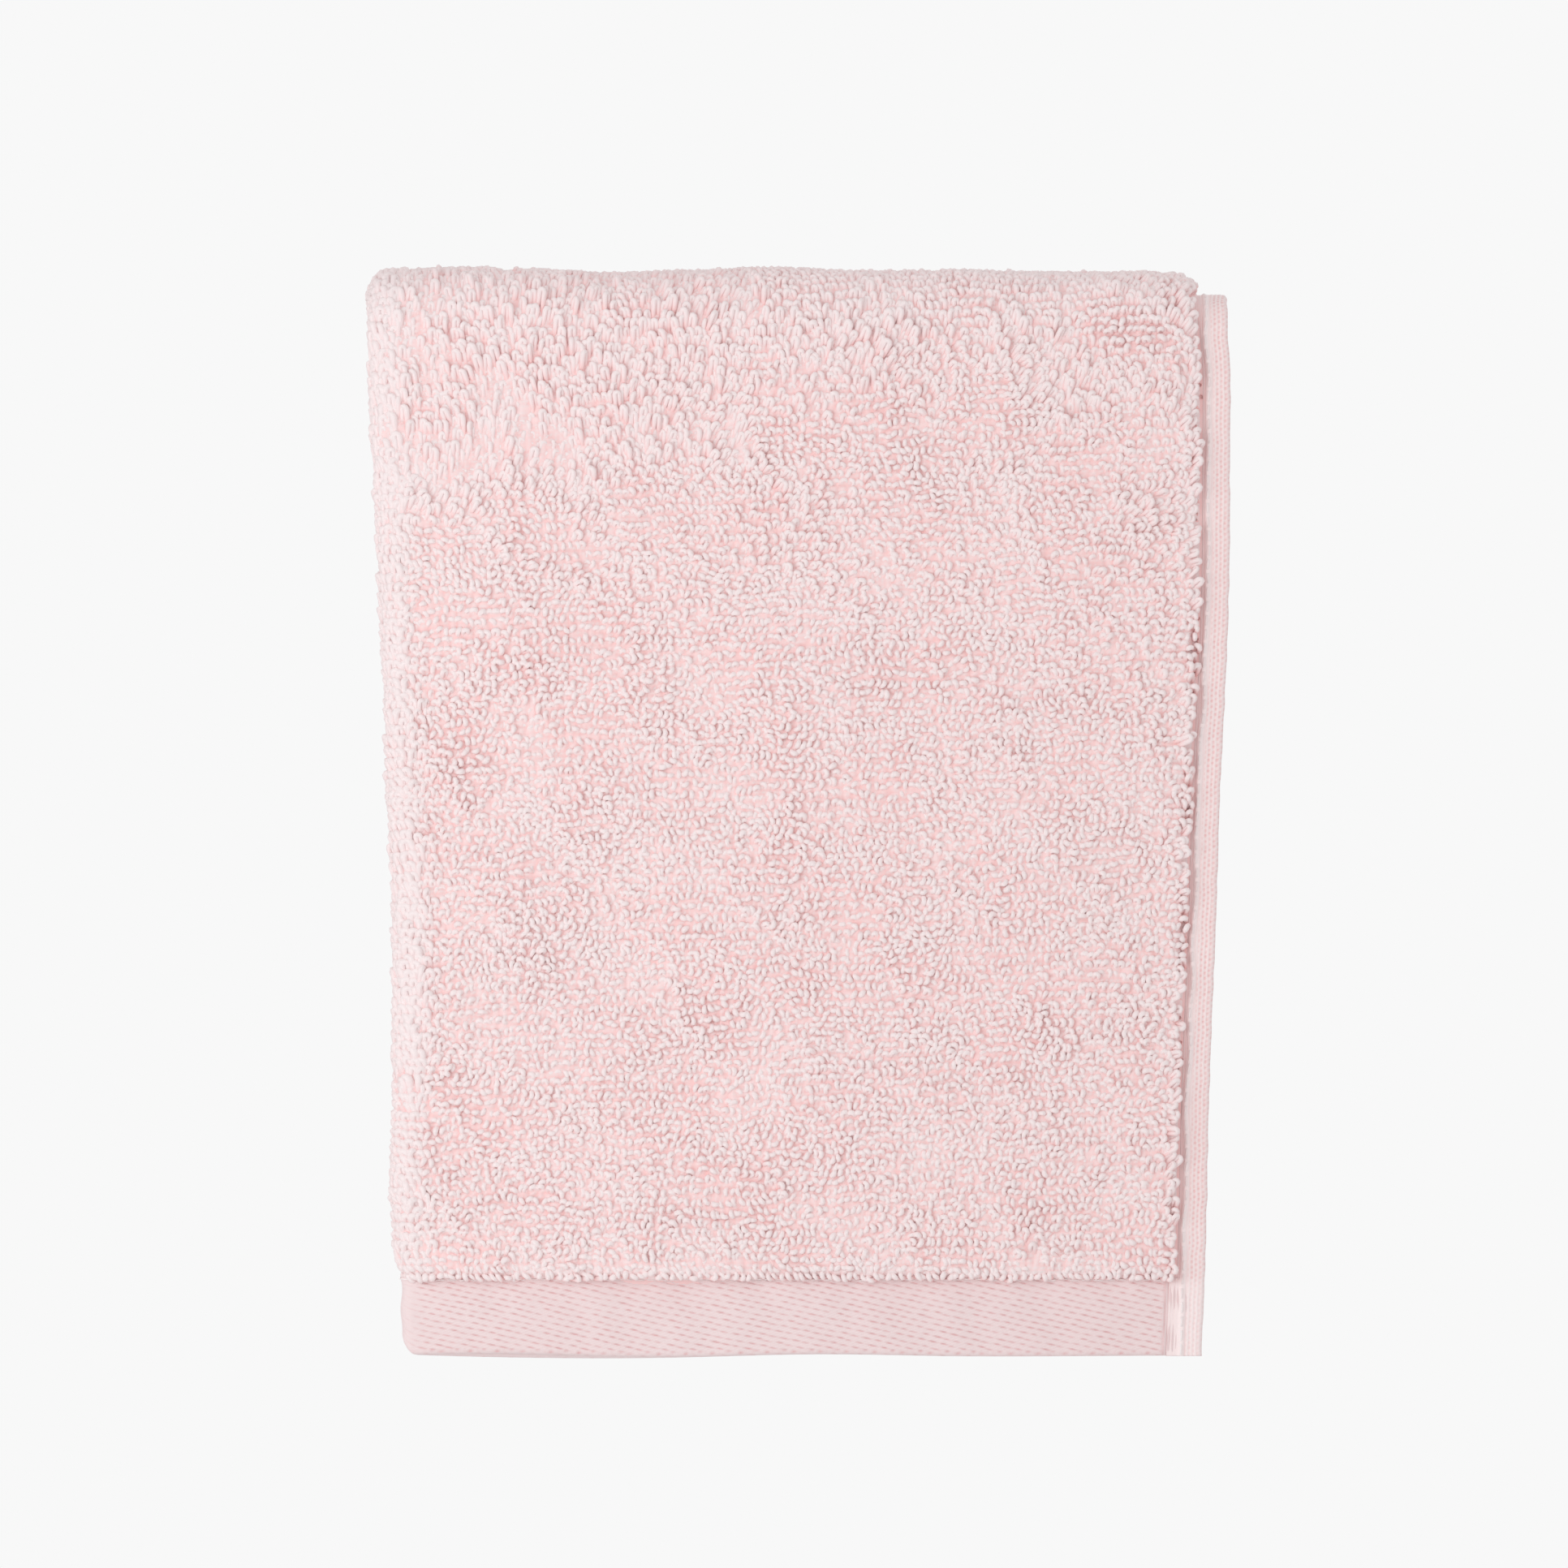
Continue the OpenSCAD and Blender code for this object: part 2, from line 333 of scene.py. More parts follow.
def loop_paths(rng, lean_p, lean_s, length, yarn):
    """Paths of twisted loops about their own roots, as (p, s, h). Each goes up one leg and down the other."""
    count = len(length)
    tilt = tilt_of(lean_p, lean_s)
    toward = unit(np.stack([lean_p, lean_s, np.zeros(count)], axis=-1))
    across = np.stack([-toward[:, 1], toward[:, 0], np.zeros(count)], axis=-1)
    up = np.zeros((count, 3))
    up[:, 2] = 1
    # Where each ring is: up one leg, round the tip, and down the other leg
    cap = yarn * 0.98
    straight = 1 - cap / length
    long_loops = np.mean(length) > 3.9
    leg = np.array([0.0, 0.33, 0.68]) if long_loops else np.array([0.0, 0.52])
    turn = np.radians([180, 135, 90, 45, 0])
    on_leg = straight[:, None] * leg
    on_tip = straight[:, None] + (cap / length)[:, None] * np.sin(turn)
    t = np.concatenate([on_leg, on_tip, on_leg[:, ::-1]], axis=1)
    offset = np.concatenate([-np.ones(len(leg)), np.cos(turn), np.ones(len(leg))])
    # The loop's middle line starts straight out of the cloth and bends over
    steps = 12
    bend = tilt[:, None] * ease(np.linspace(0, 1, steps + 1), -0.5, 0.6)
    start = np.zeros((count, 1))
    out = np.concatenate([start, np.cumsum(np.cos(bend[:, 1:]), axis=1)], axis=1) / steps
    over = np.concatenate([start, np.cumsum(np.sin(bend[:, 1:]), axis=1)], axis=1) / steps
    at = np.clip(t * steps, 0, steps - 0.001)
    low = at.astype(int)
    part = at - low
    rows = np.arange(count)[:, None]

    def look(values):
        return values[rows, low] * (1 - part) + values[rows, low + 1] * part

    middle_line = look(out)[..., None] * up[:, None] + look(over)[..., None] * toward[:, None]
    middle_line = length[:, None, None] * middle_line
    psi = look(bend)[..., None]
    normal_in_plane = np.cos(psi) * toward[:, None] - np.sin(psi) * up[:, None]
    gamma = np.pi / 2 + rng.normal(0, 0.25, count)
    twist = rng.uniform(0.1, 0.9, count) * rng.choice([-1, 1], count)
    spin = (gamma[:, None] + twist[:, None] * t)[..., None]
    apart = np.cos(spin) * normal_in_plane + np.sin(spin) * across[:, None]
    flat = -np.sin(spin) * normal_in_plane + np.cos(spin) * across[:, None]
    path = middle_line + cap[:, None, None] * offset[None, :, None] * apart
    return path, flat, t


def near_fold(fold, p):
    """1 round the left fold, and 0 on the leaves."""
    return 1 - ease(np.abs(p), fold.quarter - 1, fold.quarter + 4)


def pile(name, fold, p, s, lean_p, lean_s, length, bodies, seed, side=1, sides=7, yarn=0.52):
    """A piece of terry pile with the tip of one loop at each (p, s).

    side is -1 for loops that face the other leaf, and sides is how many faces go round the yarn.
    """
    rng = np.random.default_rng(seed)
    count = len(p)
    # The tips lie evenly, so each root is set back by as far as its loop leans
    tilt = tilt_of(lean_p, lean_s)
    set_back = length * np.sin(0.85 * tilt) / tilt
    reach = fold.quarter + fold.leaf + side_reach - 0.4
    lowest = end_hem_h + 0.5 - 1.1 * near_fold(fold, p)
    s = np.clip(s - set_back * lean_s, lowest, fold.layer.end - lowest)
    p = np.clip(p - set_back * lean_p, -reach, reach)
    p = p + rng.normal(0, 0.12, count)
    s = s + rng.normal(0, 0.12, count)
    # Where the cloth is seen edge-on, over the rail and round the fold, its loops are pressed even
    pressed = np.maximum(on_crown(fold.layer, s), 1 - ease(np.abs(p), fold.quarter, fold.quarter + 3))
    loose = 1 - 0.65 * pressed
    at_fold = near_fold(fold, p)
    thick = yarn * rng.uniform(0.90, 1.12, count) * (1 + 0.28 * at_fold)
    length = length * (1 + loose * rng.uniform(-0.10, 0.10, count))
    lean_p = lean_p + loose * rng.normal(0, 0.10, count)
    lean_s = lean_s + loose * rng.normal(0, 0.10, count)
    path, flat, t = loop_paths(rng, lean_p, lean_s, length, thick)
    slim = 0.80 + 0.28 * ease(t, 0.1, 0.8)
    rings = tube_points(path, flat, thick[:, None] * slim, sides, lobes=0.10, twist=0.75)
    ground = ground_height(fold, p, s)[:, None, None]
    local_p = p[:, None, None] + rings[..., 0]
    local_s = s[:, None, None] + rings[..., 1]
    local_h = rings[..., 2]
    height = ground + side * (local_h - root_depth)
    points = fold.point(local_p, local_s, height)
    shape = points.shape[:3]
    # Painted light: the outward side of a loop's end is painted pale as a highlight, and its sides and legs
    # darker as painted shade
    outward = (local_h - path[:, :, None, 2]) / thick[:, None, None]
    painted_light = np.clip(t[..., None] * (0.74 + 0.26 * outward), 0, 1)
    # Round the left fold the loops are painted paler still, a painted highlight where the light falls on the
    # fold
    painted_light = painted_light + (1 - painted_light) * 0.45 * at_fold[:, None, None]
    # The tip attribute carries this painted light to the loops' material
    attributes = {
        "tip": painted_light,
        "tint": np.broadcast_to(rng.uniform(0, 1, count)[:, None, None], shape),
    }
    quads = tube_quads(count, shape[1], sides)
    if side < 0:
        quads = quads[:, ::-1]
    piece = mesh_from_quads(name, points, quads, attributes, tube_uv(count, shape[1], sides))
    finish_piece(piece, loop_material, bodies)


row_field = Field(14, 9)
heading_field = Field(21, 16)
heading_field_2 = Field(22, 5)
tilt_field = Field(23, 11)
length_field = Field(24, 14)
# The back and the inner leaf read the fields this far off, so that they don't repeat the front
elsewhere = 400


def grid_positions(p_range, s_range, pitch_p=loop_pitch_p, pitch_s=loop_pitch_s):
    """Loop tips on a grid that fills the ranges, with every other row shifted a little."""
    columns = max(1, round((p_range[1] - p_range[0]) / pitch_p))
    rows = max(1, round((s_range[1] - s_range[0]) / pitch_s))
    p = p_range[0] + (np.arange(columns) + 0.5) * (p_range[1] - p_range[0]) / columns
    s = s_range[0] + (np.arange(rows) + 0.5) * (s_range[1] - s_range[0]) / rows
    p, s = np.meshgrid(p, s)
    p = p + (np.arange(rows)[:, None] % 2) * 0.35 * pitch_p - 0.17 * pitch_p
    # The rows wander, but not at the ends of the ranges
    inside = ease(s - s_range[0], 0, 6) * ease(s_range[1] - s, 0, 6)
    s = s + 0.55 * inside * row_field(p, s)
    return p.ravel(), s.ravel()


def even_length(height, lean_p, lean_s):
    """The length of a loop that brings its tip to this height at this lean."""
    return height / np.maximum(np.cos(0.87 * tilt_of(lean_p, lean_s)), 0.42)


def front_lean(fold, p, s):
    """Lean and length of the loops of the front: brushed up near the top, nearly end-on lower down."""
    depth = fold.layer.front_end - s
    leftness = 1 - ease(p, 20, 120)
    up = 1 - ease(depth, 12 + 12 * leftness, 30 + 12 * leftness)
    up = up * (0.62 + 0.38 * leftness)
    slant = ease(depth, 14, 34) * (1 - ease(depth, 48, 74))
    heading = 1.6 + 1.4 * heading_field(p, s) + 0.4 * heading_field_2(p, s)
    loose = 0.70 + 0.10 * tilt_field(p, s)
    lean_p = loose * np.cos(heading) * (1 - 0.70 * up) * (1 - 0.5 * slant)
    lean_p = lean_p + 0.50 * np.maximum(slant, up * (1 - leftness))
    lean_s = (loose * np.sin(heading) * (1 - 0.60 * up) + 0.2) * (1 - 0.5 * slant)
    lean_s = lean_s + 0.50 * slant + 0.95 * up
    # The loops lean out over the side hem, up along the fold, and down a little beside the end hem
    to_side = fold.leaf - (np.abs(p) - fold.quarter)
    lean_p = lean_p + (0.55 + 0.35 * on_crown(fold.layer, s)) * (1 - ease(to_side, 0.5, 4.0))
    at_fold = 1 - ease(p, fold.quarter, fold.quarter + 7)
    lean_p = lean_p * (1 - 0.8 * at_fold)
    to_hem = hem_distance(fold.layer, s)
    lean_s = lean_s * (1 - 0.8 * at_fold) + 1.15 * at_fold * ease(to_hem, -1, 6)
    near_hem = 1 - ease(to_hem, -0.5, 3.2)
    lean_s = lean_s * (1 - near_hem) - 0.12 * near_hem
    height = 2.5 + 0.10 * length_field(p, s) + 0.25 * up
    return lean_p, lean_s, even_length(height, lean_p, lean_s)


def back_lean(fold, p, s):
    """Lean and length of the loops of the back and of the inner leaf."""
    heading = 1.4 * heading_field(p + elsewhere, s) + 0.4 * heading_field_2(p + elsewhere, s) - 1.6
    loose = 0.70 + 0.10 * tilt_field(p + elsewhere, s)
    crown = ease(s, fold.layer.front_end, fold.layer.crown_middle)
    over = crown * (1 - ease(s, fold.layer.back_start + 4, fold.layer.back_start + 30))
    lean_p = loose * np.cos(heading) * (1 - 0.6 * over)
    lean_s = loose * np.sin(heading) * (1 - 0.6 * over) + 0.9 * over
    to_side = fold.leaf - (np.abs(p) - fold.quarter)
    lean_p = lean_p + np.sign(p) * 0.75 * (1 - ease(to_side, 0.5, 4.0))
    to_hem = hem_distance(fold.layer, s)
    lean_s = lean_s + np.sign(s - fold.layer.crown_middle) * 0.7 * (1 - ease(to_hem, -0.5, 3.0))
    height = 2.5 + 0.10 * length_field(p + elsewhere, s)
    return lean_p, lean_s, even_length(height, lean_p, lean_s)


# Pieces and materials

FRONT = ("crown", "front_drop")
BACK = ("crown", "back_drop")
# Every piece of the cloth, by the bodies that it bends between
made = {FRONT: [], BACK: []}


def finish_piece(piece, material, bodies):
    """Gives a piece its material, and files it under the bodies that it bends between."""
    made[bodies].append(piece)
    piece.data.materials.append(material)
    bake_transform(piece)


def new_material(name):
    material = bpy.data.materials.new(name)
    material.use_nodes = True
    nodes = material.node_tree.nodes
    nodes.clear()
    output = nodes.new("ShaderNodeOutputMaterial")
    shader = nodes.new("ShaderNodeBsdfPrincipled")
    material.node_tree.links.new(shader.outputs[0], output.inputs[0])
    return material, nodes, material.node_tree.links, shader


def mix_color(nodes, links, factor, first, second):
    """Mixes two colours, each a colour or an output, by an output."""
    mix = nodes.new("ShaderNodeMix")
    mix.data_type = "RGBA"
    links.new(factor, mix.inputs["Factor"])
    for socket, value in ((mix.inputs[6], first), (mix.inputs[7], second)):
        if isinstance(value, bpy.types.NodeSocket):
            links.new(value, socket)
        else:
            socket.default_value = (*value, 1)
    return mix.outputs[2]


def ramp(nodes, links, value, low, high, start=0.0, end=1.0):
    """Maps an output from low..high to start..end, with the ends held."""
    node = nodes.new("ShaderNodeMapRange")
    links.new(value, node.inputs["Value"])
    node.inputs["From Min"].default_value = low
    node.inputs["From Max"].default_value = high
    node.inputs["To Min"].default_value = start
    node.inputs["To Max"].default_value = end
    return node.outputs[0]


def noise(nodes, links, scale, detail=2.0, vector=None):
    node = nodes.new("ShaderNodeTexNoise")
    node.inputs["Scale"].default_value = scale
    node.inputs["Detail"].default_value = detail
    if vector is not None:
        links.new(vector, node.inputs["Vector"])
    return node.outputs["Fac"]


def attribute(nodes, name):
    node = nodes.new("ShaderNodeAttribute")
    node.attribute_name = name
    return node.outputs["Fac"]


def cotton_surface(nodes, links, shader, place, roughness, specular, grain, strength):
    """The dull, slightly furry surface that every cotton here has. grain is the bump's noise scale."""
    shader.inputs["Roughness"].default_value = roughness
    shader.inputs["Specular IOR Level"].default_value = specular
    bump = nodes.new("ShaderNodeBump")
    bump.inputs["Strength"].default_value = strength
    bump.inputs["Distance"].default_value = 0.0001
    links.new(noise(nodes, links, grain, 3, place), bump.inputs["Height"])
    links.new(bump.outputs[0], shader.inputs["Normal"])


def sheen(shader, weight, roughness, tint=(1, 1, 1)):
    shader.inputs["Sheen Weight"].default_value = weight
    shader.inputs["Sheen Roughness"].default_value = roughness
    shader.inputs["Sheen Tint"].default_value = (*tint, 1)


# Loops, from root to tip: painted shade, then ROSE or PALE by patches, with BLEACHED by chance, and a painted
# highlight
PAINTED_SHADE_PINK = (0.995, 0.590, 0.570)
ROSE = (0.985, 0.740, 0.732)
PALE = (0.985, 0.790, 0.785)
BLEACHED = (0.970, 0.840, 0.835)
PAINTED_HIGHLIGHT = (0.955, 0.862, 0.857)
# Woven parts: their paler and deeper patches, and the painted shade where yarns dive, or the thread's random
# tone
GROUND_COLORS = ((0.965, 0.72, 0.71), (0.96, 0.69, 0.68), PAINTED_SHADE_PINK)
END_HEM_COLORS = ((0.900, 0.755, 0.752), (0.890, 0.735, 0.732), (0.79, 0.46, 0.46))
SIDE_HEM_COLORS = ((0.990, 0.875, 0.865), (0.985, 0.85, 0.838), (0.89, 0.52, 0.51))
THREAD_COLORS = ((0.985, 0.93, 0.92), (0.975, 0.88, 0.87), (0.8, 0.6, 0.59))


def make_loop_material():
    """Cotton yarn: a painted highlight at the loop's tip and painted shade at its root and sides, with a
    little change from loop to loop.
    """
    material, nodes, links, shader = new_material("terry_loop_cotton")
    place = nodes.new("ShaderNodeTexCoord").outputs["Object"]
    patch = ramp(nodes, links, noise(nodes, links, 28, 2, place), 0.35, 0.65)
    body = mix_color(nodes, links, patch, ROSE, PALE)
    one_loop = ramp(nodes, links, attribute(nodes, "tint"), 0, 1, 0.0, 0.55)
    body = mix_color(nodes, links, one_loop, body, BLEACHED)
    # Painted light from the tip attribute: painted shade towards the roots and sides, and a painted highlight
    # on the outward side of the tips
    depth = ramp(nodes, links, attribute(nodes, "tip"), 0.2, 0.7)
    color = mix_color(nodes, links, depth, PAINTED_SHADE_PINK, body)
    painted_light = ramp(nodes, links, attribute(nodes, "tip"), 0.62, 0.95, 0.0, 0.9)
    color = mix_color(nodes, links, painted_light, color, PAINTED_HIGHLIGHT)
    links.new(color, shader.inputs["Base Color"])
    sheen(shader, 0.60, 0.65, (1.0, 0.84, 0.83))
    cotton_surface(nodes, links, shader, place, roughness=0.92, specular=0.2, grain=5200, strength=0.35)
    return material


def make_weave_material(name, colors, grain):
    """Woven cotton: an attribute mixes in the third colour, as painted shade in the recesses where yarns dive
    and on the sewing thread as a random tone for each stitch.
    """
    pale, rose, deep = colors
    material, nodes, links, shader = new_material(name)
    place = nodes.new("ShaderNodeTexCoord").outputs["Object"]
    patch = ramp(nodes, links, noise(nodes, links, 40, 3, place), 0.35, 0.65)
    body = mix_color(nodes, links, patch, rose, pale)
    fleck = ramp(nodes, links, noise(nodes, links, 900, 2, place), 0.3, 0.75, 0.0, 0.35)
    body = mix_color(nodes, links, fleck, body, rose)
    color = mix_color(nodes, links, attribute(nodes, "depth"), body, deep)
    links.new(color, shader.inputs["Base Color"])
    sheen(shader, 0.25, 0.5)
    cotton_surface(nodes, links, shader, place, roughness=0.88, specular=0.25, grain=grain, strength=0.5)
    return material


loop_material = make_loop_material()
ground_material = make_weave_material("terry_ground_weave", GROUND_COLORS, 2600)
hem_material = make_weave_material("twill_hem_cotton", END_HEM_COLORS, 4200)
side_material = make_weave_material("side_hem_cotton", SIDE_HEM_COLORS, 4200)
thread_material = make_weave_material("sewing_thread_cotton", THREAD_COLORS, 6000)


# The ground cloth

# The loops keep their pitch at these heights, close to their tips, so that the tips don't spread or crowd
pile_layer = Layer(ref=9.2)
pile_fold = Fold(pile_layer, ref=4.4)
inner_layer = Layer(ref=1.6)
inner_fold = Fold(inner_layer, ref=4.4)
ground_layer = Layer(ref=middle)
ground_fold = Fold(ground_layer, ref=ground_out)


def ground_cloth(name, s_from, s_to, bodies):
    """Half of the woven ground that the loops stand on: both leaves and the fold between them."""
    widest = ground_fold.quarter + ground_fold.leaf + 0.4
    across = np.linspace(-widest, widest, 230)
    along = np.linspace(s_from, s_to, int(abs(s_to - s_from) / 1.4))
    p, s = np.meshgrid(across, along)
    height = ground_height(ground_fold, p, s)
    points = ground_fold.point(p, s, height)
    # Painted shade in a checker at the loops' pitch, where the loops' roots go into the ground cloth
    depth = 0.5 + 0.5 * np.sin(2 * np.pi * p / loop_pitch_p) * np.sin(2 * np.pi * s / loop_pitch_s)
    quads = grid_quads(len(along), len(across))
    piece = mesh_from_quads(name, points, quads, {"depth": 0.4 * depth}, grid_uv(len(along), len(across)))
    finish_piece(piece, ground_material, bodies)
    return piece


def pile_bed(name, fold, p_range, s_range, bodies, step=0.5):
    """The lower loops that fill the gaps between the upper ones, as one grainy surface."""
    across = np.linspace(*p_range, int((p_range[1] - p_range[0]) / step))
    along = np.linspace(*s_range, int((s_range[1] - s_range[0]) / step))
    p, s = np.meshgrid(across, along)
    shifted_p = p + 0.35 * heading_field_2(p, s)
    shifted_s = s + 0.35 * heading_field_2(s, p)
    grain = np.sin(2 * np.pi * shifted_p / loop_pitch_p) * np.sin(2 * np.pi * shifted_s / loop_pitch_s)
    grain = np.abs(grain) ** 0.7
    height = ground_height(fold, p, s, raised=1.55 + 0.55 * grain)
    points = fold.point(p, s, height)
    to_side = fold.leaf - (np.abs(p) - fold.quarter)
    border = 1 - ease(to_side, 0, 3) * ease(hem_distance(fold.layer, s), 0, 3)
    # Painted light through the tip attribute: the bed's higher grain is painted paler and its hollows darker
    # as painted shade; it is also paler near the side and end hems
    attributes = {"tip": 0.38 + 0.34 * grain + 0.25 * border, "tint": 0.3 + 0.3 * tilt_field(p, s)}
    quads = grid_quads(len(along), len(across))
    piece = mesh_from_quads(name, points, quads, attributes, grid_uv(len(along), len(across)))
    finish_piece(piece, loop_material, bodies)


# The end hems

# How far apart the rows of dashes are, and the dashes of one row
twill_row = 0.506
twill_course = 6.07


def twill(u, v):
    """Height of the weave of the end hems, and its painted shade in the sunken dashes and the grooves between
    yarns: u across from the left, v down from the hem's top.
    """
    yarn = np.sin(np.pi * ((v / 0.60 + u / 1.5) % 1.0)) ** 0.8
    row = v / twill_row
    dash = np.zeros(np.shape(u))
    # Each row of short dashes is shifted two fifths of its pitch to the right of the row above
    for step in (-1, 0, 1):
        index = np.floor(row) + step
        course = u / twill_course - 0.403 * index
        cell = np.floor(course)
        chance = scatter(cell, index)
        other = scatter(cell, index, spin=(39.346, 11.135), gain=24634.6345)
        along = (course - cell - 0.5) * twill_course - 0.9 * (other - 0.5)
        down = (row - index - 0.5) * twill_row - 0.20 * along - 0.12 * (chance - 0.5)
        one = bell(along, 0, 0.70 + 0.40 * chance) * bell(down, 0, 0.15)
        dash = np.maximum(dash, one * (0.6 + 0.4 * other))
    height = 0.06 * yarn - 0.26 * dash
    # Painted shade: the sunken dashes and the grooves between the yarns are darkened
    depth = np.clip(1.1 * dash + 0.14 * (1 - yarn), 0, 1)
    return height, depth


hem_wear_field = Field(31, 5)
hem_fold_ref = 1.6


def end_hem(name, bottom_s, up, layer, bodies):
    """One end hem: a flat twill band, turned double, that goes round the left fold from leaf to leaf."""
    hem_half = end_hem_out - middle
    hem_in = side_hem_in - middle
    fold = Fold(layer, ref=hem_fold_ref, fold_half=hem_half)
    inner_edge = fold.quarter + fold.leaf
    width = inner_edge + side_hem_w * 0.55
    columns = 1040
    rows = 150
    across = np.linspace(-width, width, columns)
    face = np.linspace(0, 1, rows)
    corner = np.linspace(0, np.pi, 7)[1:-1]
    thick = hem_half - hem_in
    # The band's outline, from its top down the face, round the bottom and up behind
    down = end_hem_h * (1 - face) + thick / 2 * face
    outline_s = np.concatenate([down, thick / 2 * (1 - np.sin(corner)), [thick / 2, end_hem_h]])
    mid = (hem_half + hem_in) / 2
    outline_h = np.concatenate([np.full(rows, hem_half), mid + thick / 2 * np.cos(corner), [hem_in, hem_in]])
    on_face = np.concatenate([np.ones(rows), np.linspace(1, 0, len(corner)), [0, 0]])
    p, along = np.meshgrid(across, outline_s, indexing="ij")
    out = np.broadcast_to(outline_h, p.shape)
    faced = np.broadcast_to(on_face, p.shape)
    height, depth = twill(p + 300, end_hem_h - along)
    wear = 0.10 * hem_wear_field(p, along)
    pillow = 0.25 * np.sin(np.pi * np.clip(along / end_hem_h, 0, 1)) + 0.12 * ripple_field(p * 1.5, along)
    smooth_fold = 1 - 0.8 * (1 - ease(np.abs(p), 1.5, 6))
    # Beside the side hem the twill gives way to upright ribs
    ribbed = ease(np.abs(p), inner_edge - 3.0, inner_edge - 2.0)
    ribs = np.sin(2 * np.pi * p / 0.85 + 0.9 * np.sin(0.55 * along))
    height = height * (1 - ribbed) + 0.16 * ribs * ribbed
    # Painted shade darkens the hollows between the ribs
    depth = depth * (1 - ribbed) + (0.32 - 0.30 * ribs) * ribbed
    out = out + faced * (height * smooth_fold + wear + pillow - 0.2)
    flare = 0.25 * ripple_field(p * 0.7, 90.0)
    # The bottom corner at the fold is rounded
    from_left = hem_half * (1 - np.cos(np.clip(p / fold.ref, -math.pi / 2, math.pi / 2)))
    from_left = from_left + np.maximum(np.abs(p) - fold.quarter, 0)
    corner_r = 3.8
    lift = corner_r - np.sqrt(corner_r**2 - np.maximum(corner_r - from_left, 0) ** 2)
    along = lift + along * (1 - lift / end_hem_h)
    s = bottom_s + up * (along + flare * (1 - along / end_hem_h))
    points = fold.point(p, s, out)
    quads = grid_quads(len(across), len(outline_s), closed=True)
    if up < 0:
        quads = quads[:, ::-1]
    attributes = {"depth": depth * smooth_fold * faced}
    uv = grid_uv(len(across), len(outline_s), True)
    piece = mesh_from_quads(name, points, quads[:, ::-1], attributes, uv)
    finish_piece(piece, hem_material, bodies)


# The side hems

seam_wave_field = Field(41, 6)
selvedge_field = Field(42, 2.5)
# The seam's distance from the hem's inner edge, and its raised seat on the crossing with an end hem
seam_from_edge = 1.62
hem_step = 0.55


def seam_wobble(s):
    return 0.16 * seam_wave_field(s, 0.0)


def over_end_hem(layer, s):
    """1 where a side hem crosses an end hem, and 0 beside the pile."""
    return 1 - ease(hem_distance(layer, s), -1.5, 1.0)


def side_hem(name, outer, layer, s_from, s_to, bodies):
    """One side hem: a warp-ribbed channel beside the pile, then a flat plain-woven band to the edge."""
    sign = 1 if outer else -1
    face_h = side_hem_out - middle
    back_h = side_hem_in - middle
    columns = 46
    rows = int(abs(s_to - s_from) / 0.34)
    thick = face_h - back_h
    corner = np.linspace(0, np.pi, 7)[1:-1]
    tuck = -1.2
    face = np.linspace(tuck, side_hem_w - thick / 2, columns)
    mid = (face_h + back_h) / 2
    rounded_q = side_hem_w - thick / 2 * (1 - np.sin(corner))
    rounded_h = mid + thick / 2 * np.cos(corner)
    outline_q = np.concatenate([face, rounded_q, [side_hem_w - thick / 2, tuck]])
    outline_h = np.concatenate([np.full(columns, face_h), rounded_h, [back_h, back_h]])
    on_face = np.concatenate([np.ones(columns), np.linspace(1, 0.1, len(corner)), [0, 0]])
    along = np.linspace(s_from, s_to, rows)
    along = np.concatenate([along[:1], along, along[-1:]])
    rows = len(along)
    s, q = np.meshgrid(along, outline_q, indexing="ij")
    out = np.broadcast_to(outline_h, s.shape)
    faced = np.broadcast_to(on_face, s.shape)
    # Across the band: the channel, the ridge that the seam runs on, and a groove
    across = q - seam_wobble(s)
    over_hem = over_end_hem(layer, s)
    crowned = on_crown(layer, s)
    channel = (1 - ease(across, 0.95, 1.3)) * (1 - 0.8 * over_hem) * (1 - 0.7 * crowned)
    ridge = bell(across, seam_from_edge, 0.60)
    groove = bell(across, 2.35, 0.20)
    # Then columns of dashes, where the yarns dive, between low ribs
    column = (q - 2.6) / 0.86 + 0.06 * selvedge_field(s, 8.0)
    pick = s / 1.12 + 0.5 * np.round(column)
    chance = scatter(np.round(column), np.round(pick))
    dash = bell(column - np.round(column), 0, 0.30) * bell(pick - np.round(pick), 0.2 * chance - 0.1, 0.28)
    dash = dash * ease(q, 2.5, 2.9) * (0.65 + 0.35 * chance) * (1 - 0.6 * over_hem)
    rib = np.cos(2 * np.pi * column) * (0.4 + 0.6 * ease(q, 2.0, 2.6))
    warp = np.sin(2 * np.pi * q / 0.42 + 0.8 * np.sin(0.7 * s))
    shape = -0.45 * channel + 0.30 * ridge * (1 - 0.6 * crowned) - 0.12 * groove
    shape = shape - 0.05 * rib - 0.20 * dash + 0.06 * channel * warp
    out = out + faced * (shape + hem_step * over_hem)
    # The first and last rows are drawn together, which closes the ends
    out[[0, -1]] = mid
    below = layer.below(s)
    edge = right_half(below) - side_hem_w + 0.05 * selvedge_field(s, 3.0) * ease(q, 3, 6)
    x = edge + q
    points = layer.place(x, s, middle + sign * out - side_hem_sink * crowned)
    # Painted shade in the sunken channel and its warp stripes, the groove, the dashes and the ribs' hollows,
    # and a painted highlight on the raised ridge
    depth = 0.03 + 0.05 * rib + dash + channel * (0.34 + 0.26 * warp) + 0.3 * groove - 0.5 * ridge
    depth = np.clip(depth, 0, 1) * (0.4 + 0.6 * faced)
    quads = grid_quads(rows, len(outline_q), closed=True)
    if not outer:
        quads = quads[:, ::-1]
    piece = mesh_from_quads(name, points, quads, {"depth": depth}, grid_uv(rows, len(outline_q), True))
    finish_piece(piece, side_material, bodies)


# The stitches


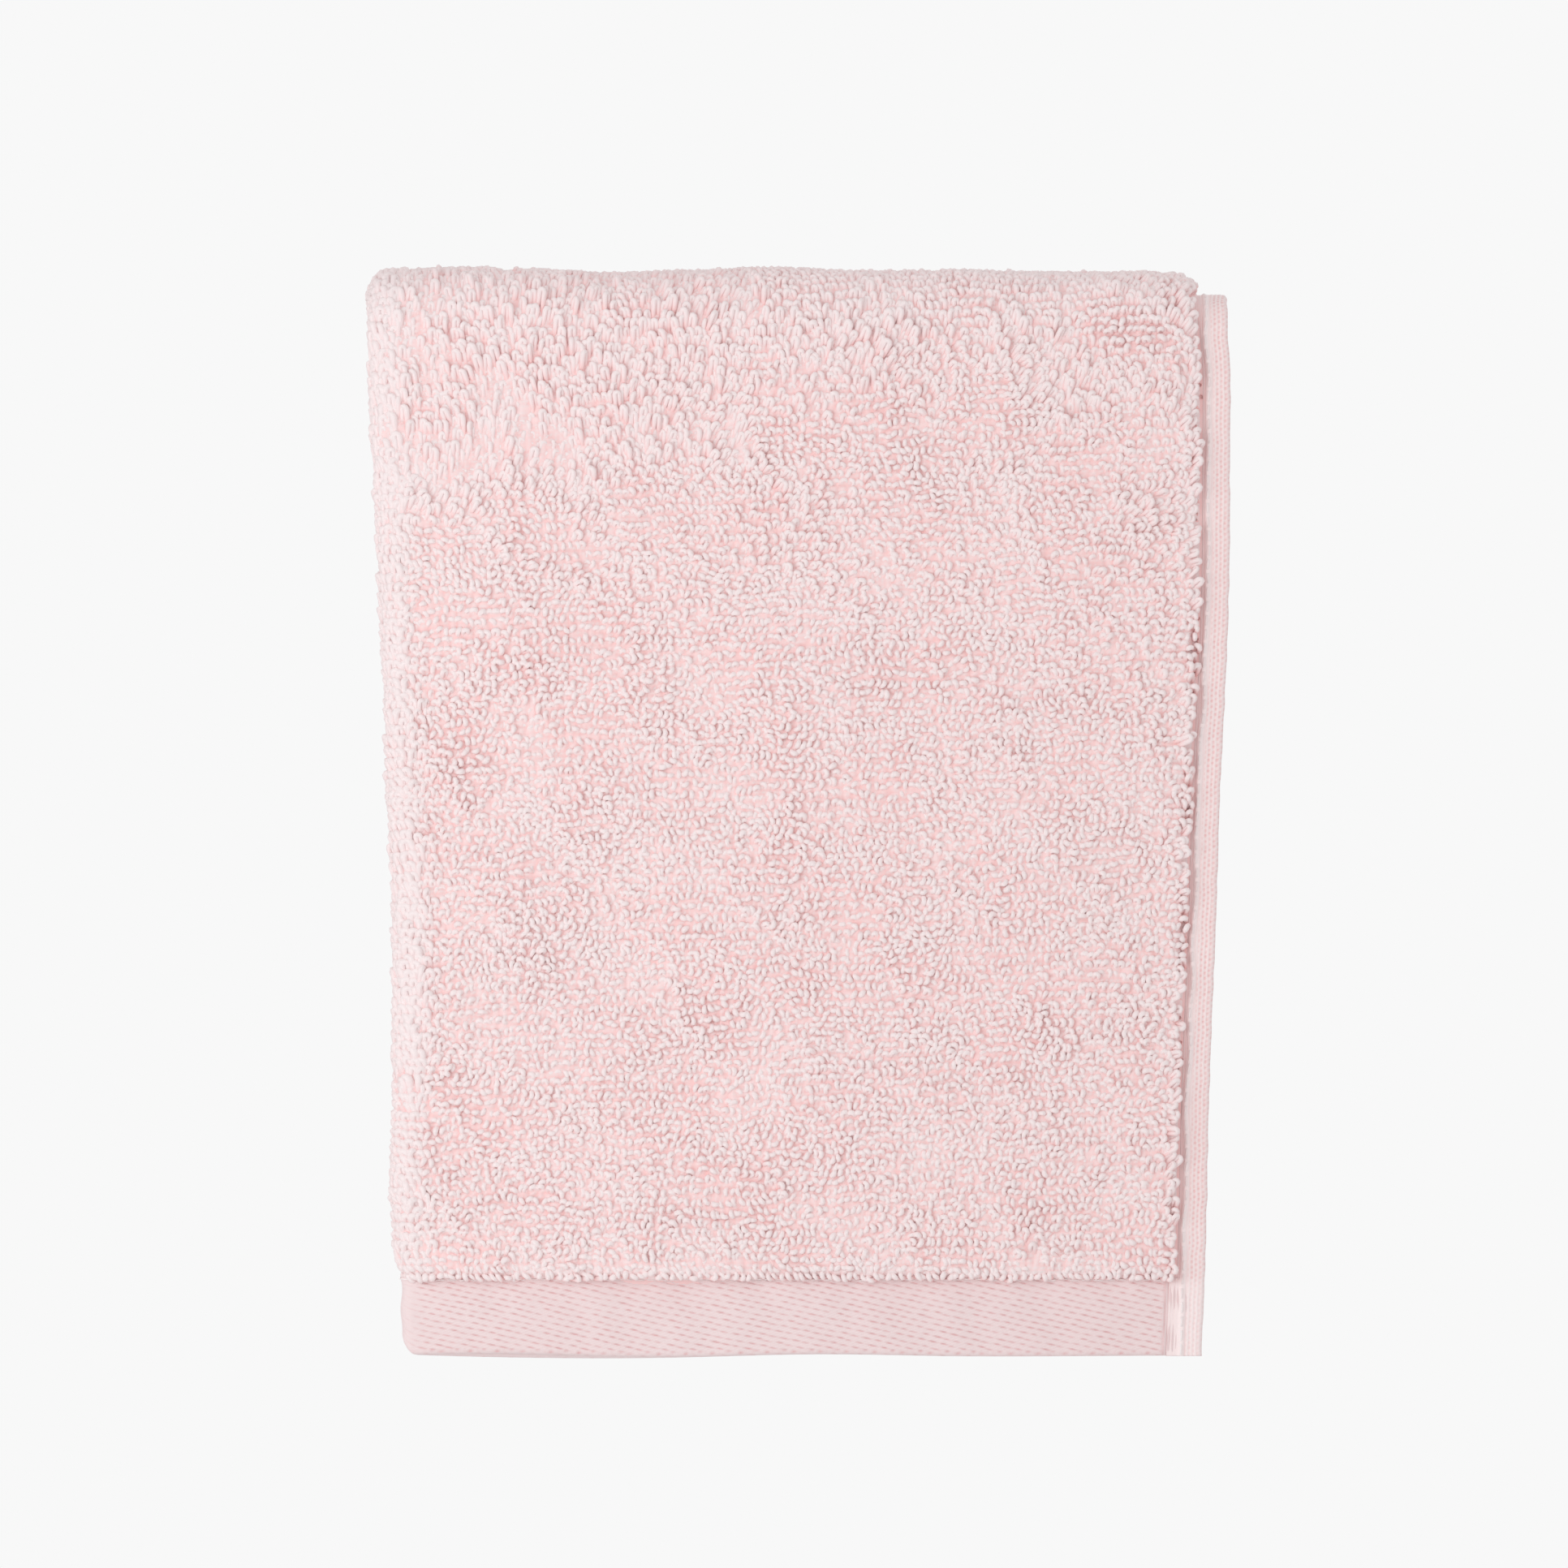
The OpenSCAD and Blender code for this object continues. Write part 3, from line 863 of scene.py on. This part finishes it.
def stitch_row(name, starts, ends, lift, thread, bodies, seed):
    """A row of separate stitches from starts to ends, each arched along its own lift direction."""
    rng = np.random.default_rng(seed)
    count = len(starts)
    t = np.array([0.0, 0.12, 0.5, 0.88, 1.0])
    path = starts[:, None] * (1 - t)[:, None] + ends[:, None] * t[:, None]
    arch = np.array([-0.35, 0.05, 0.16, 0.05, -0.35])
    path = path + lift[:, None] * (arch[None, :, None] * rng.uniform(0.85, 1.15, count)[:, None, None])
    side = np.broadcast_to(np.cross(unit(ends - starts), lift)[:, None], path.shape)
    width = thread * np.array([0.8, 1.0, 1.05, 1.0, 0.8])[None] * rng.uniform(0.9, 1.1, count)[:, None]
    sides = 8
    points = tube_points(path, side, width, sides, lobes=0.12, twist=0.9)
    attributes = {"depth": np.broadcast_to(rng.uniform(0, 0.35, count)[:, None, None], points.shape[:3])}
    quads = tube_quads(count, len(t), sides)
    piece = mesh_from_quads(name, points, quads, attributes, tube_uv(count, len(t), sides))
    finish_piece(piece, thread_material, bodies)


def side_seam(name, outer, layer, s_from, s_to, bodies, seed):
    """The thread that holds one side hem down, beside the ribbed channel."""
    sign = 1 if outer else -1
    pitch = 2.9
    rng = np.random.default_rng(seed)
    count = int(abs(s_to - s_from) / pitch)
    begin = s_from + (np.arange(count) + 0.08) * (s_to - s_from) / count
    finish = begin + 0.80 * (s_to - s_from) / count
    height = side_hem_out - middle + 0.26

    def at(s, jitter):
        below = layer.below(s)
        x = right_half(below) - side_hem_w + seam_from_edge + seam_wobble(s) + jitter
        rise = hem_step * over_end_hem(layer, s)
        r = middle + sign * (height + rise) - side_seam_sink * on_crown(layer, s)
        return layer.place(x, s, r), layer.place(x, s, r + sign)

    start, above = at(begin, rng.normal(0, 0.05, count))
    end, above_end = at(finish, rng.normal(0, 0.05, count))
    lift = unit((above - start) + (above_end - end))
    stitch_row(name, start, end, lift, 0.24, bodies, seed)


def end_seam(name, bottom_s, up, layer, bodies, seed):
    """The thread along the top of one end hem, on both leaves."""
    hem_half = end_hem_out - middle
    fold = Fold(layer, ref=hem_fold_ref, fold_half=hem_half)
    width = fold.quarter + fold.leaf
    pitch = 2.6
    rng = np.random.default_rng(seed)
    count = int(2 * width / pitch)
    begin = -width + (np.arange(count) + 0.08) * 2 * width / count
    finish = begin + 0.78 * 2 * width / count
    s = bottom_s + up * (end_hem_h - 0.5 + rng.normal(0, 0.06, count))
    start = fold.point(begin, s, hem_half)
    end = fold.point(finish, s, hem_half)
    above = fold.point((begin + finish) / 2, s, hem_half + 1.12)
    lift = unit(above - (start + end) / 2)
    stitch_row(name, start, end, lift, 0.16, bodies, seed)


# Making the pieces

hem_layer = Layer(ref=end_hem_out)
outer_hem_layer = Layer(ref=side_hem_out)
inner_hem_layer = Layer(ref=2 * middle - side_hem_out)
outer_p = (pile_fold.quarter, pile_fold.quarter + pile_fold.leaf + side_reach)
inner_p = (-inner_fold.quarter - inner_fold.leaf, -inner_fold.quarter)


def make_front_pile():
    """The outer leaf's pile on the front drop, in blocks."""
    p_all, s_all = grid_positions(outer_p, (end_hem_h - hem_reach, pile_layer.front_end))
    columns, rows = 2, 4
    p_edge = np.linspace(p_all.min() - 1, p_all.max() + 1, columns + 1)
    s_edge = np.linspace(s_all.min() - 1, s_all.max() + 1, rows + 1)
    for row in range(rows):
        for column in range(columns):
            inside = (p_all >= p_edge[column]) & (p_all < p_edge[column + 1])
            inside &= (s_all >= s_edge[row]) & (s_all < s_edge[row + 1])
            p, s = p_all[inside], s_all[inside]
            lean_p, lean_s, length = front_lean(pile_fold, p, s)
            name = f"front_pile_{row + 1}_{column + 1}"
            pile(name, pile_fold, p, s, lean_p, lean_s, length, FRONT, 100 + row * 10 + column)


def make_pile(name, fold, p_range, s_range, lean, bodies, seed, side=1, sides=7, pitch=1.0):
    """One piece of pile over the ranges. pitch spreads the loops from their usual pitch."""
    p, s = grid_positions(p_range, s_range, loop_pitch_p * pitch, loop_pitch_s * pitch)
    lean_p, lean_s, length = lean(fold, p, s)
    if side < 0:
        length = length * 0.9
    pile(name, fold, p, s, lean_p, lean_s, length, bodies, seed, side, sides)


def make_outer_pile():
    """The rest of the outer leaf's pile, and the fold's."""
    layer = pile_layer
    low = layer.end - end_hem_h
    half = (outer_p[0] + outer_p[1]) / 2
    fold_p = (-pile_fold.quarter, pile_fold.quarter)
    stretches = [
        ("crown_pile_front", outer_p, (layer.front_end, layer.crown_middle), front_lean, FRONT, 201),
        ("crown_pile_back", outer_p, (layer.crown_middle, layer.back_start), back_lean, BACK, 202),
        ("back_pile_1", (outer_p[0], half), (layer.back_start, low), back_lean, BACK, 203),
        ("back_pile_2", (half, outer_p[1]), (layer.back_start, low), back_lean, BACK, 204),
        ("front_fold_pile", fold_p, (end_hem_h - hem_reach, layer.crown_middle), front_lean, FRONT, 205),
        ("back_fold_pile", fold_p, (layer.crown_middle, low), back_lean, BACK, 206),
    ]
    for name, p_range, s_range, lean, bodies, seed in stretches:
        make_pile(name, pile_fold, p_range, s_range, lean, bodies, seed)


# The pile that is hardly seen is a little sparser, with fewer sides to its yarn
sparse = {"sides": 5, "pitch": 1.06}


def make_inner_pile():
    """The inner leaf's pile, against the rail."""
    layer = inner_layer
    blocks = 4
    edges = np.linspace(end_hem_h, layer.front_end, blocks + 1)
    stretches = []
    for i in range(blocks):
        stretches.append((f"front_inner_pile_{i + 1}", (edges[i], edges[i + 1]), FRONT, 210 + i))
    stretches += [
        ("crown_inner_pile_front", (layer.front_end, layer.crown_middle), FRONT, 215),
        ("crown_inner_pile_back", (layer.crown_middle, layer.back_start), BACK, 216),
        ("back_inner_pile", (layer.back_start, layer.end - end_hem_h), BACK, 217),
    ]
    for name, s_range, bodies, seed in stretches:
        make_pile(name, inner_fold, inner_p, s_range, back_lean, bodies, seed, **sparse)


def make_gap_pile():
    """The loops between the leaves, which show only at the open right edge."""
    layer = ground_layer
    edge = ground_fold.quarter + ground_fold.leaf
    strip = 5.0
    halves = (
        ("front", (end_hem_h, layer.crown_middle), FRONT),
        ("back", (layer.crown_middle, layer.end - end_hem_h), BACK),
    )
    for label, p_range, seed in (("outer", (edge - strip, edge), 220), ("inner", (-edge, strip - edge), 230)):
        for half, s_range, bodies in halves:
            name = f"{label}_gap_pile_{half}"
            make_pile(name, ground_fold, p_range, s_range, back_lean, bodies, seed, side=-1, **sparse)
            seed = seed + 1


def make_beds():
    """The lower loops under the pile of both leaves. The two beds overlap a little behind the fold."""
    around = (-pile_fold.quarter - bed_reach, pile_fold.quarter + pile_fold.leaf)
    inside = (inner_p[0], inner_p[1] + bed_reach)
    for label, fold, p_range in (("", pile_fold, around), ("inner_", inner_fold, inside)):
        top = fold.layer.crown_middle
        low = fold.layer.end - end_hem_h + bed_reach
        pile_bed(f"front_{label}pile_bed", fold, p_range, (end_hem_h - bed_reach, top), FRONT)
        pile_bed(f"back_{label}pile_bed", fold, p_range, (top, low), BACK)


def make_hems():
    """The end hems, the side hems and their thread."""
    end_hem("end_hem_front", 0.0, 1, hem_layer, FRONT)
    end_hem("end_hem_back", hem_layer.end, -1, hem_layer, BACK)
    end_seam("end_seam_front", 0.0, 1, hem_layer, FRONT, 301)
    end_seam("end_seam_back", hem_layer.end, -1, hem_layer, BACK, 302)
    for outer, layer, label in ((True, outer_hem_layer, "outer"), (False, inner_hem_layer, "inner")):
        top = layer.crown_middle
        side_hem(f"{label}_side_hem_front", outer, layer, 0.0, top, FRONT)
        side_hem(f"{label}_side_hem_back", outer, layer, top, layer.end, BACK)
        side_seam(f"{label}_side_seam_front", outer, layer, 0.0, top, FRONT, 310 + outer)
        side_seam(f"{label}_side_seam_back", outer, layer, top, layer.end, BACK, 320 + outer)


# The ground cloth goes this far into the end hems
ground_tuck = 1.5
top = ground_layer.crown_middle
front_ground = ground_cloth("ground_cloth_front", end_hem_h - ground_tuck, top, FRONT)
back_ground = ground_cloth("ground_cloth_back", top, ground_layer.end - end_hem_h + ground_tuck, BACK)
make_front_pile()
make_outer_pile()
make_inner_pile()
make_gap_pile()
make_beds()
make_hems()


def replaced(prefixes, kinds):
    """The CAD nodes named by one of the prefixes and one of the kinds."""
    names = [f"{prefix}_{kind}" for prefix in prefixes for kind in kinds]
    return [name for name in names if name in frame["nodes"]]


leaf_kinds = ("outer_leaf", "inner_leaf", "left_fold")
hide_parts(*replaced(("crown", "front_bend", "front"), leaf_kinds))
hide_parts(*replaced(("crown", "back_bend", "back"), leaf_kinds))
for piece in made[FRONT] + made[BACK]:
    side = "front" if piece.name.endswith("front") else "back"
    if piece.name.startswith("end_hem"):
        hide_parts(*replaced((side,), ("outer_end_hem", "inner_end_hem", "end_hem_fold")))
    elif piece.name.startswith("end_seam"):
        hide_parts(f"{side}_end_hem_seams")
    elif "side_seam" in piece.name:
        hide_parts(*replaced(("crown", f"{side}_bend", side), ("side_hem_seams",)))
    elif "side_hem" in piece.name:
        label = piece.name.split("_")[0]
        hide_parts(*replaced(("crown", side), (f"{label}_side_hem",)))
        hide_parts(f"{side}_bend_side_hems")


# The stage: floor, light and camera


def make_floor():
    """A plain pale floor below the cloth, out of the main picture. Here and below, lengths are in metres."""
    half = 1.8
    z = -0.36
    corners = np.array([[-half, -half, z], [half, -half, z], [half, half, z], [-half, half, z]])
    floor = mesh_from_quads("floor", corners / MM, np.array([[0, 1, 2, 3]]))
    material, nodes, links, shader = new_material("studio_floor")
    shader.inputs["Base Color"].default_value = (0.86, 0.86, 0.86, 1)
    shader.inputs["Roughness"].default_value = 0.9
    floor.data.materials.append(material)


def make_light(name, location, target, size, power, color=(1, 1, 1)):
    """A square area light of this size at location, turned to face target."""
    data = bpy.data.lights.new(name, "AREA")
    data.shape = "SQUARE"
    data.size = size
    data.energy = power
    data.color = color
    light = bpy.data.objects.new(name, data)
    light.location = location
    light.rotation_mode = "QUATERNION"
    light.rotation_quaternion = (Vector(target) - Vector(location)).to_track_quat("-Z", "Y")
    light.visible_camera = False
    bpy.context.scene.collection.objects.link(light)


def make_world():
    """Even grey light from all round, with a paler backdrop behind the cloth."""
    world = bpy.data.worlds.new("studio")
    bpy.context.scene.world = world
    world.use_nodes = True
    nodes = world.node_tree.nodes
    links = world.node_tree.links
    lit = nodes["Background"]
    lit.inputs["Color"].default_value = (0.675, 0.672, 0.68, 1)
    seen = nodes.new("ShaderNodeBackground")
    seen.inputs["Color"].default_value = (0.939, 0.939, 0.939, 1)
    mix = nodes.new("ShaderNodeMixShader")
    links.new(nodes.new("ShaderNodeLightPath").outputs["Is Camera Ray"], mix.inputs[0])
    links.new(lit.outputs[0], mix.inputs[1])
    links.new(seen.outputs[0], mix.inputs[2])
    links.new(mix.outputs[0], nodes["World Output"].inputs["Surface"])


def make_camera():
    """A long lens, level with the middle of the picture, straight on to the front."""
    distance = 3.0
    # The width and the middle of the picture, where the camera's middle line meets the front of the cloth
    picture_width = 0.3257
    picture_x = -0.0037
    picture_z = -0.0966
    data = bpy.data.cameras.new("camera")
    data.sensor_width = 36
    data.lens = data.sensor_width * distance / picture_width
    data.clip_end = 20
    camera = bpy.data.objects.new("camera", data)
    front = -(stack + crown_length / 2) * MM
    camera.location = (picture_x, front - distance, picture_z)
    camera.rotation_euler = (math.pi / 2, 0, 0)
    bpy.context.scene.collection.objects.link(camera)
    bpy.context.scene.camera = camera


make_floor()
make_world()
# Each light's place, target, side in metres, power in watts and colour
make_light("front", (-0.1, -1.2, 0.1), (0, 0, -0.1), 1.6, 2.9, (1.0, 0.99, 0.98))
make_light("key", (-0.46, -0.50, -0.14), (-0.05, 0, -0.12), 0.55, 1.18, (0.985, 0.99, 1.0))
make_light("warm", (0.8, -1.2, -0.6), (0, 0, -0.1), 0.9, 0.8, (1.0, 0.82, 0.70))
make_light("rear", (0.6, 1.4, 0.7), (0, 0, -0.1), 0.8, 5)
make_camera()
bpy.context.scene.view_settings.view_transform = "Standard"
